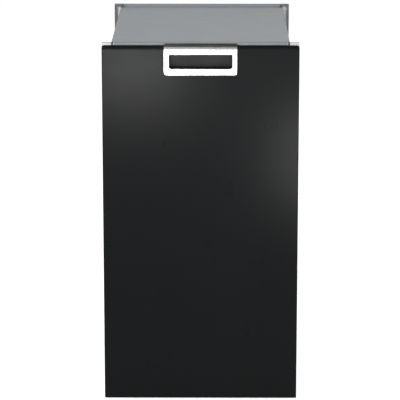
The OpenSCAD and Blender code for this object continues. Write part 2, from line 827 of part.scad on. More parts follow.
// pan-head screws along the cabinet's sides and back
module cabinet_screws() color("silver") {
    for (s = [-1, 1], y = [cab_y0 + 30, screw_y, back_y - 30],
         z = [base_gap + base_h / 2, top_z - 14])
        translate([s * cab_w / 2, y, z]) rotate([0, s * 90, 0]) cylinder(h = 2, r = 4);
    for (x = [-1, 0, 1], z = [base_gap + base_h / 2, top_z - 14])
        level_bar(x * (cab_w / 2 - 24), z, cab_y1, cab_y1 + 2, 4);
}

base_pan();
deck_plate();
side_panel_left();
side_panel_right();
top_plate();
back_panel();
anchor_brackets();
front_fascia();
top_bearing_plate();
upper_bearings();
deck_bearings();
thrust_bearings();
levelling_feet();
wall_bumpers();
slide_brackets();
slide_outer_rails();
motor_body();
motor_mount();
drive_shaft_bearings();
drive_belt();
drive_chain();
tensioner_arm();
motor_capacitor();
control_box();
control_pod();
power_inlet();
filter_housing();
carbon_filter();
catch_magnets();
limit_switches();
cabinet_screws();
wiring_loom();
power_screw_left();
power_screw_right();
sprocket_left();
sprocket_right();
drive_shaft();
drive_pulley();
drive_sprocket();
motor_pulley();
motor_fan();
idler_sprocket();
ram_beam();
power_nuts();
ram_column();
ram_platen();
ram_bolts();
slide_middle_rails();
front_skin();
drawer_frame();
handle_bezel();
handle_housing();
drawer_tray();
slide_inner_rails();
trash_bin();
bag_ring();
catch_plates();
corner_buffers();
start_button();
power_rocker();
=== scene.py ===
# Looks for the under-counter trash compactor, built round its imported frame. Metres.
import json
import math

import bpy
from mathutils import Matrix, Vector


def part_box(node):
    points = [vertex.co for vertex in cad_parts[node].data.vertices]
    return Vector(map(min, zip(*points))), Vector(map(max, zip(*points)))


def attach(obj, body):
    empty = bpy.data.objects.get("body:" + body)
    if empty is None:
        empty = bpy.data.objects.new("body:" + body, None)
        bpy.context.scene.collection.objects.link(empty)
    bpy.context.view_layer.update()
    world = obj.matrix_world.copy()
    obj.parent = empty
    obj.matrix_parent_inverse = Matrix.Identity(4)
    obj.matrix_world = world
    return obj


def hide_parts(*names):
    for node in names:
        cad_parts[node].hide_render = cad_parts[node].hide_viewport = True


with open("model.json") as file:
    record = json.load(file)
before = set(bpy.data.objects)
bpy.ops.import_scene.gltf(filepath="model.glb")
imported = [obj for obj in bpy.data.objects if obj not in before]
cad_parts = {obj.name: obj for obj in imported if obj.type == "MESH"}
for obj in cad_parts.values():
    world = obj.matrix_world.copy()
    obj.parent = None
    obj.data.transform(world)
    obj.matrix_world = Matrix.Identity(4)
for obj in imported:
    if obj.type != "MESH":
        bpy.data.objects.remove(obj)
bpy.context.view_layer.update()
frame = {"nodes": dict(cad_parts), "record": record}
nodes = frame["nodes"]
mm = 0.001
print("frame loaded,", len(nodes), "nodes")


# ---- hand tools ----

def dropSelection():
    bpy.ops.object.select_all(action="DESELECT")


def hold(piece):
    dropSelection()
    piece.select_set(True)
    bpy.context.view_layer.objects.active = piece
    return piece


def settle(piece):
    # puts the place, turn and size into the mesh, with the object back at the origin
    hold(piece)
    bpy.ops.object.transform_apply(location=True, rotation=True, scale=True)
    return piece


def named(piece, name):
    piece.name = name
    piece.data.name = name
    return piece


def linked(name, data):
    piece = bpy.data.objects.new(name, data)
    bpy.context.collection.objects.link(piece)
    return piece


def block(name, low, high):
    low, high = [Vector(pick(pair) for pair in zip(low, high)) for pick in (min, max)]
    dropSelection()
    bpy.ops.mesh.primitive_cube_add(size=1, location=(low + high) / 2)
    piece = named(bpy.context.object, name)
    piece.scale = high - low
    return settle(piece)


quarter = math.pi / 2
turnTo = {"X": (0, quarter, 0), "Y": (quarter, 0, 0), "Z": (0, 0, 0)}


def rod(name, centre, radius, length, sides=48, axis="Z"):
    dropSelection()
    bpy.ops.mesh.primitive_cylinder_add(vertices=sides, radius=radius, depth=length,
                                        location=centre, rotation=turnTo[axis])
    return settle(named(bpy.context.object, name))


def ring(name, centre, radius, thickness, axis="Z", around=48, across=12):
    dropSelection()
    bpy.ops.mesh.primitive_torus_add(major_segments=around, minor_segments=across,
                                     major_radius=radius, minor_radius=thickness,
                                     location=centre, rotation=turnTo[axis])
    return settle(named(bpy.context.object, name))


def editMode(piece, kind="VERT"):
    hold(piece)
    bpy.context.tool_settings.mesh_select_mode = [kind == k for k in ("VERT", "EDGE", "FACE")]
    bpy.ops.object.mode_set(mode="EDIT")


def objectMode():
    bpy.ops.object.mode_set(mode="OBJECT")


def onWhole(piece, operator, **settings):
    # runs one edit-mode operator on the whole mesh
    editMode(piece)
    bpy.ops.mesh.select_all(action="SELECT")
    operator(**settings)
    objectMode()
    return piece


def facedOut(piece):
    return onWhole(piece, bpy.ops.mesh.normals_make_consistent, inside=False)


def near(a, b, reach=0.05):
    return abs(a - b) < reach * mm


def along(axis, test=None):
    # picks edges that run along an axis, and pass any further test of their two ends
    across = [i for i in range(3) if "XYZ"[i] != axis]
    return lambda p, q: (all(near(p[i], q[i]) for i in across)
                         and (test is None or test(p, q)))


def level(axis, value, test=None):
    # picks edges that lie at one height on an axis
    i = "XYZ".index(axis)
    return lambda p, q: (near(p[i], value) and near(q[i], value)
                         and (test is None or test(p, q)))


def roundEdges(piece, test, width, steps=4):
    mesh = piece.data
    for marks in (mesh.vertices, mesh.polygons):
        marks.foreach_set("select", [False] * len(marks))
    for edge in mesh.edges:
        edge.select = bool(test(*(mesh.vertices[i].co for i in edge.vertices)))
    editMode(piece, "EDGE")
    bpy.ops.mesh.bevel(offset=width, segments=steps, affect="EDGES", clamp_overlap=True)
    objectMode()
    return piece


def applied(piece, kind, **settings):
    hold(piece)
    change = piece.modifiers.new(kind.lower(), kind)
    for label, value in settings.items():
        setattr(change, label, value)
    bpy.ops.object.modifier_apply(modifier=change.name)
    return piece


def smooth(piece, angle=35):
    # round where faces meet gently, with flat faces kept flat by weighted normals
    hold(piece)
    bpy.ops.object.shade_smooth_by_angle(angle=math.radians(angle))
    return applied(piece, "WEIGHTED_NORMAL", keep_sharp=True, weight=90)


def soften(piece, width, steps=3, angle=30):
    applied(piece, "BEVEL", width=width, segments=steps, limit_method="ANGLE",
            angle_limit=math.radians(angle))
    return smooth(piece)


def carve(piece, cutter, operation="DIFFERENCE"):
    applied(piece, "BOOLEAN", operation=operation, solver="EXACT", object=cutter)
    bpy.data.objects.remove(cutter)
    return piece


def pressed(piece, low, high, axis, face, corner, rim, steps=(8, 4), operation="UNION"):
    # a field with round corners, raised from a sheet or sunk in it along an axis
    field = block("field", low, high)
    roundEdges(field, along(axis), corner, steps[0])
    roundEdges(field, level(axis, face), rim, steps[1])
    return carve(piece, field, operation)


def outline(name, points, low, high, axis="Y"):
    # a flat outline of (across, up) points, made a solid between low and high on the axis
    lay = {"Y": lambda a, b: (a, low, b), "X": lambda a, b: (low, a, b),
           "Z": lambda a, b: (a, b, low)}[axis]
    mesh = bpy.data.meshes.new(name)
    mesh.from_pydata([lay(a, b) for a, b in points], [], [list(range(len(points)))])
    piece = linked(name, mesh)
    travel = [high - low if axis == letter else 0 for letter in "XYZ"]
    editMode(piece, "FACE")
    bpy.ops.mesh.select_all(action="SELECT")
    bpy.ops.mesh.extrude_region_move(TRANSFORM_OT_translate={"value": travel})
    objectMode()
    return facedOut(piece)


def arc(centre, radius, start, end, steps):
    # points on a circle, with its angles in degrees
    angles = [math.radians(start + (end - start) * i / steps) for i in range(steps + 1)]
    return [(centre[0] + radius * math.cos(a), centre[1] + radius * math.sin(a)) for a in angles]


def roundedPoints(low, high, radius, steps=8):
    # a rectangle's outline with round corners, as (x, y) points
    corners = ((high.x - radius, high.y - radius, 0), (low.x + radius, high.y - radius, 90),
               (low.x + radius, low.y + radius, 180), (high.x - radius, low.y + radius, 270))
    return [point for x, y, start in corners
            for point in arc((x, y), radius, start, start + 90, steps)]


def stepped(radius, height, steps):
    # profile points, in mm in from a radius and above a height
    return [(radius - inward * mm, height + up * mm) for inward, up in steps]


def turned(name, profile, centre, sides=48, lead=0.0, turns=1):
    # a profile of (radius, height) points swept round the Z axis, or along a thread
    mesh = bpy.data.meshes.new(name)
    count = len(profile)
    edges = [(i, i + 1) for i in range(count - 1)] + ([(count - 1, 0)] if lead else [])
    mesh.from_pydata([(radius, 0, height) for radius, height in profile], edges, [])
    piece = linked(name, mesh)
    applied(piece, "SCREW", axis="Z", angle=2 * math.pi, steps=sides, render_steps=sides,
            iterations=turns, screw_offset=lead, use_merge_vertices=not lead,
            merge_threshold=0.001 * mm)
    if lead:
        editMode(piece)
        bpy.ops.mesh.select_all(action="DESELECT")
        bpy.ops.mesh.select_non_manifold()
        bpy.ops.mesh.fill()
        objectMode()
    facedOut(piece)
    piece.location = centre
    return settle(piece)


def facingY(piece, centre, outward=-1):
    # lays a turned piece on its side, with its top towards -Y or +Y, about a centre
    piece.rotation_euler.x = -outward * quarter
    settle(piece)
    piece.location = centre
    return settle(piece)


def tube(name, points, radius, bend, sides=12):
    # a round tube through the points, with a smooth bend at each corner
    path = [points[0]]
    for before, corner, after in zip(points, points[1:], points[2:]):
        first = corner + (before - corner).normalized() * bend
        last = corner + (after - corner).normalized() * bend
        for i in range(9):
            t = i / 8
            path.append(first * (1 - t) ** 2 + corner * 2 * t * (1 - t) + last * t ** 2)
    path.append(points[-1])
    curve = bpy.data.curves.new(name, "CURVE")
    curve.dimensions = "3D"
    curve.bevel_depth = radius
    curve.bevel_resolution = sides // 4
    curve.use_fill_caps = True
    line = curve.splines.new("POLY")
    line.points.add(len(path) - 1)
    for point, spot in zip(line.points, path):
        point.co = (*spot, 1)
    hold(linked(name, curve))
    bpy.ops.object.convert(target="MESH")
    piece = named(bpy.context.object, name)
    onWhole(piece, bpy.ops.mesh.remove_doubles, threshold=0.01 * mm)
    return facedOut(piece)


def joined(name, parts):
    dropSelection()
    for part in parts:
        part.select_set(True)
    bpy.context.view_layer.objects.active = parts[0]
    bpy.ops.object.join()
    return named(bpy.context.object, name)


def welded(name, node):
    # a clean copy of a CAD node: its loose triangles merged and its flat faces whole
    piece = linked(name, nodes[node].data.copy())
    onWhole(piece, bpy.ops.mesh.remove_doubles, threshold=0.002 * mm)
    return onWhole(piece, bpy.ops.mesh.dissolve_limited, angle_limit=math.radians(0.6))


def pointsOf(node):
    return [vertex.co for vertex in nodes[node].data.vertices]


def middleOf(node):
    low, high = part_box(node)
    return (low + high) / 2


def loosePlaces(node):
    # the middle and the half size of each separate solid in a CAD node
    piece = welded("loose_" + node, node)
    onWhole(piece, bpy.ops.mesh.separate, type="LOOSE")
    found = []
    for part in [o for o in bpy.context.selected_objects if o.type == "MESH"]:
        spots = [v.co for v in part.data.vertices]
        low, high = [Vector(pick(v[i] for v in spots) for i in range(3)) for pick in (min, max)]
        found.append(((low + high) / 2, (high - low) / 2))
        bpy.data.objects.remove(part)
    return sorted(found, key=lambda spot: tuple(round(v, 5) for v in spot[0]))


replacedNodes = set()
bodyOf = {member: body for body, members in frame["record"]["behaviour"]["bodies"].items()
          for member in members}
slotOf = {row["node"]: row["material_slot"] for row in frame["record"]["subparts"]}


def finish(piece, *replaced, look=None, body=None, slot=None):
    # gives a new piece its material, its body and its place in the frame
    slot = slot or slotOf[replaced[0]]
    piece.data.materials.clear()
    piece.data.materials.append(materials[look or slot])
    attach(piece, body or bodyOf[replaced[0]])
    if replaced:
        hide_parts(*replaced)
        replacedNodes.update(replaced)
    return piece


# ---- shader node groups ----

def newNode(tree, kind, **values):
    # a shader node with its properties and inputs: a name that starts small is a property
    node = tree.nodes.new("ShaderNode" + kind)
    for label, value in values.items():
        if label[0].islower():
            setattr(node, label, value)
        else:
            node.inputs[label].default_value = value
    return node


def wire(source, output, target, label=None):
    # links an output to the input of the same name, or to the input that is named
    target.id_data.links.new(source.outputs[output],
                             target.inputs[output if label is None else label])


def newGroup(name, inputs, output):
    group = bpy.data.node_groups.new(name, "ShaderNodeTree")
    for label, value in inputs.items():
        kind = "NodeSocketVector" if isinstance(value, tuple) else "NodeSocketFloat"
        socket = group.interface.new_socket(name=label, in_out="INPUT", socket_type=kind)
        socket.default_value = value
    group.interface.new_socket(name=output, in_out="OUTPUT", socket_type="NodeSocketFloat")
    return group, group.nodes.new("NodeGroupInput"), group.nodes.new("NodeGroupOutput")


def mapRange(tree, low, high, toLow, toHigh):
    return newNode(tree, "MapRange", **{"From Min": low, "From Max": high,
                                        "To Min": toLow, "To Max": toHigh})


def buildPatches():
    # slow change over the surface, between two values
    group, entry, leave = newGroup(
        "patches", {"Vector": (0, 0, 0), "Scale": 8, "Low": 0.3, "High": 0.4}, "Value")
    noise = newNode(group, "TexNoise", Detail=5, Roughness=0.6)
    span = mapRange(group, 0.32, 0.68, 0, 1)
    wire(entry, "Vector", noise)
    wire(entry, "Scale", noise)
    wire(noise, "Fac", span, "Value")
    wire(entry, "Low", span, "To Min")
    wire(entry, "High", span, "To Max")
    wire(span, "Result", leave, "Value")
    return group


def buildGrain():
    # fine moulded or sprayed texture, as a height
    group, entry, leave = newGroup(
        "grain", {"Vector": (0, 0, 0), "Scale": 900, "Cells": 0.5}, "Height")
    noise = newNode(group, "TexNoise", Detail=3, Roughness=0.55)
    cells = newNode(group, "TexVoronoi")
    mix = newNode(group, "Mix")
    for node in (noise, cells):
        wire(entry, "Vector", node)
        wire(entry, "Scale", node)
    wire(entry, "Cells", mix, "Factor")
    wire(noise, "Fac", mix, "A")
    wire(cells, "Distance", mix, "B")
    wire(mix, "Result", leave, "Height")
    return group


def buildLines():
    # drawn or machined lines along one axis, as a height; Stretch is small along the lines
    group, entry, leave = newGroup(
        "drawnLines", {"Vector": (0, 0, 0), "Stretch": (1, 1, 0.02), "Scale": 700}, "Height")
    squeeze = newNode(group, "VectorMath", operation="MULTIPLY")
    noise = newNode(group, "TexNoise", Detail=4, Roughness=0.65)
    wire(entry, "Vector", squeeze, 0)
    wire(entry, "Stretch", squeeze, 1)
    wire(squeeze, "Vector", noise)
    wire(entry, "Scale", noise)
    wire(noise, "Fac", leave, "Height")
    return group


def buildSpangle():
    # the leafy crystals of zinc coating, as a value that differs from crystal to crystal
    group, entry, leave = newGroup("spangle", {"Vector": (0, 0, 0), "Scale": 120}, "Value")
    wobble = newNode(group, "TexNoise", Detail=2, Roughness=0.5)
    push = newNode(group, "VectorMath", operation="MULTIPLY_ADD")
    push.inputs[1].default_value = (0.006, 0.006, 0.006)
    cells = newNode(group, "TexVoronoi")
    split = newNode(group, "SeparateColor")
    for node in (wobble, cells):
        wire(entry, "Scale", node)
    wire(entry, "Vector", wobble)
    wire(wobble, "Color", push, 0)
    wire(entry, "Vector", push, 2)
    wire(push, "Vector", cells)
    wire(cells, "Color", split)
    wire(split, "Red", leave, "Value")
    return group


def buildDust():
    # a mask of settled dust: most on faces that look up, broken by a soft noise
    group, entry, leave = newGroup("dust", {"Vector": (0, 0, 0), "Amount": 0.1}, "Mask")
    split = newNode(group, "SeparateXYZ")
    up = mapRange(group, 0.3, 1.0, 0.15, 1.0)
    noise = newNode(group, "TexNoise", Detail=6, Roughness=0.7, Scale=26)
    broken = mapRange(group, 0.4, 0.75, 0.1, 1.0)
    both, scaled = [newNode(group, "Math", operation="MULTIPLY") for _ in range(2)]
    wire(newNode(group, "NewGeometry"), "Normal", split, "Vector")
    wire(split, "Z", up, "Value")
    wire(entry, "Vector", noise)
    wire(noise, "Fac", broken, "Value")
    wire(up, "Result", both, 0)
    wire(broken, "Result", both, 1)
    wire(both, "Value", scaled, 0)
    wire(entry, "Amount", scaled, 1)
    wire(scaled, "Value", leave, "Mask")
    return group


patches = buildPatches()
grain = buildGrain()
drawnLines = buildLines()
spangle = buildSpangle()
dust = buildDust()


def surface(name, colour, shade, rough, metallic=0.0, specular=0.5, patchScale=9,
            texture=None, bump=0.0, dusty=0.06, crystals=0.0):
    # one material: a colour that drifts to its shade, patchy roughness, a fine height and dust
    material = bpy.data.materials.new(name)
    material.use_nodes = True
    tree = material.node_tree
    shader = tree.nodes["Principled BSDF"]
    shader.inputs["Metallic"].default_value = metallic
    shader.inputs["Specular IOR Level"].default_value = specular
    where = newNode(tree, "TexCoord")

    def place(group, **values):
        node = newNode(tree, "Group", node_tree=group)
        for label, value in values.items():
            node.inputs[label].default_value = value
        wire(where, "Object", node, "Vector")
        return node

    paint = newNode(tree, "Mix", data_type="RGBA", A=(*colour, 1), B=(*shade, 1))
    wire(place(patches, Scale=patchScale, Low=0.0, High=1.0), "Value", paint, "Factor")
    result = "Result"
    if crystals:
        reach = mapRange(tree, 0, 1, 1 - crystals, 1 + crystals)
        wire(place(spangle, Scale=130), "Value", reach)
        scaled = newNode(tree, "VectorMath", operation="SCALE")
        wire(paint, result, scaled, 0)
        wire(reach, "Result", scaled, "Scale")
        paint, result = scaled, "Vector"
    if dusty:
        powder = newNode(tree, "Mix", data_type="RGBA", B=(0.42, 0.41, 0.39, 1))
        wire(place(dust, Amount=dusty), "Mask", powder, "Factor")
        wire(paint, result, powder, "A")
        paint, result = powder, "Result"
    wire(paint, result, shader, "Base Color")
    wire(place(patches, Scale=patchScale * 2.3, Low=rough[0], High=rough[1]), "Value",
         shader, "Roughness")
    if texture:
        kind, settings = texture
        relief = newNode(tree, "Bump", Strength=bump, Distance=0.15 * mm)
        wire(place(kind, **settings), "Height", relief)
        wire(relief, "Normal", shader)
    return material


moulded = (grain, {"Scale": 1100, "Cells": 0.7})
sprayed = (grain, {"Scale": 420, "Cells": 0.15})
lathed = (drawnLines, {"Scale": 900, "Stretch": (0.02, 0.02, 1.0)})
rolled = (drawnLines, {"Scale": 500, "Stretch": (1.0, 0.03, 1.0)})
finishes = {
    "black_gloss": dict(colour=(0.0019, 0.0022, 0.0025), shade=(0.0024, 0.0027, 0.0030),
                        rough=(0.27, 0.31), specular=0.07, patchScale=5, texture=sprayed,
                        bump=0.012, dusty=0),
    "frame_grey": dict(colour=(0.42, 0.43, 0.44), shade=(0.38, 0.39, 0.40), rough=(0.45, 0.55),
                       specular=0.25, texture=sprayed, bump=0.10),
    # trim and seal greys: darker than the frame's paint, partly as painted shade under the top
    # plate's front edge
    "trim_grey_painted_shade": dict(colour=(0.170, 0.176, 0.180), shade=(0.160, 0.166, 0.170),
                      rough=(0.60, 0.70), specular=0.10, texture=moulded, bump=0.10, dusty=0),
    "seal_grey_painted_shade": dict(colour=(0.300, 0.310, 0.316), shade=(0.285, 0.295, 0.300),
                      rough=(0.85, 0.95), specular=0.02, texture=moulded, bump=0.12, dusty=0),
    "handle_white": dict(colour=(0.40, 0.40, 0.40), shade=(0.39, 0.39, 0.39), rough=(0.26, 0.30),
                         metallic=1.0, texture=lathed, bump=0.02, dusty=0),
    "black_plastic": dict(colour=(0.007, 0.007, 0.008), shade=(0.010, 0.010, 0.011),
                          rough=(0.38, 0.50), specular=0.14, texture=moulded, bump=0.20, dusty=0),
    "dark_plastic": dict(colour=(0.035, 0.036, 0.038), shade=(0.047, 0.048, 0.050),
                         rough=(0.42, 0.55), texture=moulded, bump=0.30),
    "white_plastic": dict(colour=(0.70, 0.70, 0.66), shade=(0.63, 0.62, 0.57), rough=(0.38, 0.50),
                          texture=moulded, bump=0.22),
    "galvanised": dict(colour=(0.30, 0.31, 0.32), shade=(0.26, 0.27, 0.28), rough=(0.48, 0.60),
                       metallic=0.5, specular=0.3, texture=rolled, bump=0.08, crystals=0.12),
    "cabinet_grey": dict(colour=(0.248, 0.263, 0.277), shade=(0.241, 0.256, 0.270),
                         rough=(0.54, 0.59), specular=0.2, texture=sprayed, bump=0.10,
                         dusty=0.02),
    # back panel: pale paint, raised further as painted light for the shaded strip beside the rear
    # brackets
    "back_light": dict(colour=(0.72, 0.73, 0.74), shade=(0.67, 0.68, 0.69), rough=(0.45, 0.55),
                       texture=sprayed, bump=0.08, dusty=0.03),
    "dark_steel": dict(colour=(0.105, 0.110, 0.115), shade=(0.080, 0.084, 0.088),
                       rough=(0.38, 0.52), texture=sprayed, bump=0.15),
    "steel": dict(colour=(0.52, 0.52, 0.53), shade=(0.42, 0.42, 0.43), rough=(0.20, 0.34),
                  metallic=1.0, texture=lathed, bump=0.08, dusty=0.03),
    "zinc": dict(colour=(0.60, 0.60, 0.57), shade=(0.52, 0.51, 0.46), rough=(0.26, 0.40),
                 metallic=1.0, texture=rolled, bump=0.06),
    "bronze": dict(colour=(0.52, 0.33, 0.15), shade=(0.40, 0.24, 0.10), rough=(0.30, 0.46),
                   metallic=1.0, texture=lathed, bump=0.08),
    "rubber": dict(colour=(0.020, 0.020, 0.020), shade=(0.030, 0.029, 0.028), rough=(0.62, 0.78),
                   specular=0.3, texture=moulded, bump=0.20),
    "belt_rubber": dict(colour=(0.022, 0.021, 0.020), shade=(0.032, 0.030, 0.028),
                        rough=(0.58, 0.74), specular=0.3, texture=moulded, bump=0.18),
    "bin_steel": dict(colour=(0.46, 0.47, 0.48), shade=(0.40, 0.41, 0.42), rough=(0.32, 0.44),
                      metallic=0.8, texture=rolled, bump=0.08, crystals=0.12),
    "motor_paint": dict(colour=(0.060, 0.066, 0.072), shade=(0.045, 0.050, 0.055),
                        rough=(0.34, 0.46), texture=sprayed, bump=0.15),
    "green_plastic": dict(colour=(0.020, 0.230, 0.060), shade=(0.016, 0.190, 0.050),
                          rough=(0.18, 0.26), texture=moulded, bump=0.04, dusty=0),
    "carbon": dict(colour=(0.012, 0.012, 0.012), shade=(0.030, 0.030, 0.030), rough=(0.80, 0.95),
                   specular=0.2, texture=(grain, {"Scale": 320, "Cells": 0.9}), bump=0.9),
    "cast_aluminium": dict(colour=(0.58, 0.58, 0.59), shade=(0.48, 0.48, 0.49),
                           rough=(0.36, 0.52), metallic=1.0,
                           texture=(grain, {"Scale": 600, "Cells": 0.3}), bump=0.22),
    "magnet": dict(colour=(0.045, 0.044, 0.043), shade=(0.060, 0.058, 0.056), rough=(0.5, 0.7),
                   metallic=0.3, texture=moulded, bump=0.15),
    "wire_sleeve": dict(colour=(0.020, 0.020, 0.022), shade=(0.045, 0.045, 0.048),
                        rough=(0.55, 0.70), texture=(grain, {"Scale": 1500, "Cells": 0.9}),
                        bump=0.7),
}
materials = {name: surface(name, **values) for name, values in finishes.items()}
print("materials made,", len(materials))


# ---- camera, light and floor ----

studio = dict(
    eye=(0.027, -5.4206, 1.690), pitch=13.2, yaw=0.316, lens=203.58, sensor=36,
    floorTint=(0.90, 0.90, 0.90), floorShade=(0.88, 0.88, 0.88), floorGlow=0.62,
    skyHigh=0.25, skyLow=1.05, skyTop=0.75,
)

# name, place, what it looks at, size and power; the glossy front mirrors the soft cards: one
# high on its left, one at its right edge, and a wide dim one over its upper half
lamps = (
    ("key", (-1.6, -2.6, 2.9), (0, 0, 0.6), (1.6, 1.6), 80),
    ("fill", (2.8, -2.4, 1.9), (0, 0, 0.5), (1.8, 1.8), 15),
    ("rear", (0.5, 3.2, 2.8), (0, 0, 0.5), (2.4, 1.4), 26),
    ("leftCard", (-0.19, -1.10, 0.68), (-0.127, -0.30, 0.80), (0.24, 0.20), 3.2),
    ("rightCard", (0.30, -1.10, 0.43), (0.24, -0.30, 0.62), (0.12, 0.20), 2.2),
    ("wideCard", (0, -2.8, 0.62), (0, -0.3, 0.7), (2.0, 0.7), 9.0),
)


def setCamera():
    data = bpy.data.cameras.new("camera")
    data.lens = studio["lens"]
    data.sensor_width = studio["sensor"]
    data.clip_end = 60
    camera = linked("camera", data)
    camera.location = studio["eye"]
    camera.rotation_euler = [math.radians(a) for a in (90 - studio["pitch"], 0, studio["yaw"])]
    bpy.context.scene.camera = camera


def addLight(name, spot, target, size, power):
    data = bpy.data.lights.new(name, "AREA")
    data.shape = "RECTANGLE"
    data.size, data.size_y = size
    data.energy = power
    light = linked(name, data)
    light.location = spot
    look = Vector(target) - Vector(spot)
    light.rotation_euler = look.to_track_quat("-Z", "Y").to_euler()
    light.visible_camera = False


def setFloor():
    dropSelection()
    bpy.ops.mesh.primitive_plane_add(size=60, location=(0, 0, 0))
    floor = settle(named(bpy.context.object, "floor"))
    pale = surface("paleFloor", studio["floorTint"], studio["floorShade"], (0.75, 0.85),
                   specular=0.1, patchScale=0.7, dusty=0)
    shader = pale.node_tree.nodes["Principled BSDF"]
    shader.inputs["Emission Color"].default_value = (1, 1, 1, 1)
    shader.inputs["Emission Strength"].default_value = studio["floorGlow"]
    floor.data.materials.append(pale)


def setWorld():
    world = bpy.data.worlds.new("studio")
    bpy.context.scene.world = world
    world.use_nodes = True
    tree = world.node_tree
    split = newNode(tree, "SeparateXYZ")
    span = mapRange(tree, 0.0, studio["skyTop"], studio["skyLow"], studio["skyHigh"])
    back = tree.nodes["Background"]
    back.inputs["Color"].default_value = (1, 1, 1, 1)
    wire(newNode(tree, "TexCoord"), "Generated", split, "Vector")
    wire(split, "Z", span, "Value")
    wire(span, "Result", back, "Strength")


setCamera()
setFloor()
setWorld()
for lamp in lamps:
    addLight(*lamp)
bpy.context.scene.view_settings.view_transform = "Standard"
print("studio set")


# ---- drawer front ----

# crown: how far down from the top edge, and how far back the face leans there
skinShape = dict(corner=6.0, edge=4.0, slotEdge=0.5, crown=(
    (0.0, 1.5), (4.5, 0.62), (6.0, 0.36), (7.5, 0.17), (9.0, 0.05), (10.5, 0.0)))


def makeFrontSkin():
    low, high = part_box("front_skin")
    houseLow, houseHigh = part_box("handle_housing")
    piece = block("front_skin_formed", low, high)
    roundEdges(piece, along("Y", lambda p, q: near(p.z, high.z) and near(abs(p.x), high.x)),
               skinShape["corner"] * mm, 8)
    crown = skinShape["crown"]
    for drop, _ in crown[1:]:
        onWhole(piece, bpy.ops.mesh.bisect, plane_co=(0, 0, high.z - drop * mm),
                plane_no=(0, 0, 1))

    def lean(z):
        down = (high.z - z) / mm
        for (a, backA), (b, backB) in zip(crown, crown[1:]):
            if down <= b:
                return backA + (backB - backA) * (down - a) / (b - a)
        return 0.0

    for vertex in piece.data.vertices:
        if near(vertex.co.y, low.y):
            vertex.co.y += lean(vertex.co.z) * mm
    front = low.y + (crown[0][1] + 0.1) * mm
    roundEdges(piece, lambda p, q: max(p.y, q.y) < front
               and not (near(p.z, q.z) and low.z + mm < p.z < high.z - mm),
               skinShape["edge"] * mm, 6)
    slot = block("slot", (houseLow.x, low.y - 5 * mm, houseLow.z),
                 (houseHigh.x, high.y + 5 * mm, high.z + 5 * mm))
    carve(piece, slot)
    soften(piece, skinShape["slotEdge"] * mm, 2, 60)
    finish(piece, "front_skin")


bezelShape = dict(topDrop=12.5, rim=2.6, corner=7.0, inner=5.5, innerTop=2.5, innerRim=1.0,
                  stretch=2.4)


def makeHandleBezel():
    low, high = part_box("handle_bezel")
    gripLow, gripHigh = gripBox()
    b = bezelShape
    piece = block("handle_bezel_polished", low, high)
    opening = block("opening", (gripLow.x, low.y - 5 * mm, gripLow.z),
                    (gripHigh.x, high.y + 5 * mm, gripHigh.z))
    lower = along("Y", lambda p, q: p.z < (low.z + high.z) / 2)
    roundEdges(opening, lower, b["inner"] * mm, 6)
    roundEdges(opening, along("Y", lambda p, q: near(p.z, gripHigh.z)), b["innerTop"] * mm, 4)
    roundEdges(piece, lower, b["corner"] * mm, 8)
    carve(piece, opening)
    # stretched from front to back while its edges are rounded, so that they come out oval
    piece.scale.y = b["stretch"]
    settle(piece)
    front = low.y * b["stretch"]
    brow = high.z - b["topDrop"] * 0.9 * mm
    roundEdges(piece, level("Y", front, level("Z", high.z)), b["topDrop"] * mm, 10)
    roundEdges(piece, level("Y", front, lambda p, q: not inGrip(p, gripLow, gripHigh)
                            and max(p.z, q.z) < brow), b["rim"] * mm, 5)
    piece.scale.y = 1 / b["stretch"]
    settle(piece)
    soften(piece, b["innerRim"] * mm, 3, 50)
    for vertex in piece.data.vertices:
        vertex.co.y = max(vertex.co.y, low.y)
    finish(piece, "handle_bezel")


def gripBox():
    # the grip's opening, found from the bezel's own inner wall
    low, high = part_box("handle_bezel")
    middle = (low + high) / 2
    inside = [v for v in pointsOf("handle_bezel")
              if abs(v.x - middle.x) < (high.x - low.x) / 2 - 8 * mm
              and low.z + 8 * mm < v.z < high.z - 8 * mm]
    return (Vector((min(v.x for v in inside), low.y, min(v.z for v in inside))),
            Vector((max(v.x for v in inside), high.y, max(v.z for v in inside))))


def inGrip(spot, low, high):
    # whether a point is in the grip's opening, as seen from the front
    return low.x - mm < spot.x < high.x + mm and low.z - mm < spot.z < high.z + mm


housingShape = dict(lipEdge=1.6, cornerRadius=3.5, edge=0.5, lipDepth=8.0)


def makeHandleHousing():
    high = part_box("handle_housing")[1]
    gripLow, gripHigh = gripBox()
    h = housingShape
    piece = welded("handle_housing_moulded", "handle_housing")
    deep = gripHigh.y + h["lipDepth"] * mm
    roundEdges(piece, along("Y", lambda p, q: min(p.y, q.y) < deep < max(p.y, q.y)
                            and inGrip(p, gripLow, gripHigh)), h["cornerRadius"] * mm, 6)
    roundEdges(piece, level("Z", high.z, lambda p, q: not near(p.x, q.x)), h["lipEdge"] * mm, 4)
    soften(piece, h["edge"] * mm, 2, 40)
    finish(piece, "handle_housing")


sealShape = dict(inset=1.2, rise=0.35, edge=0.15)


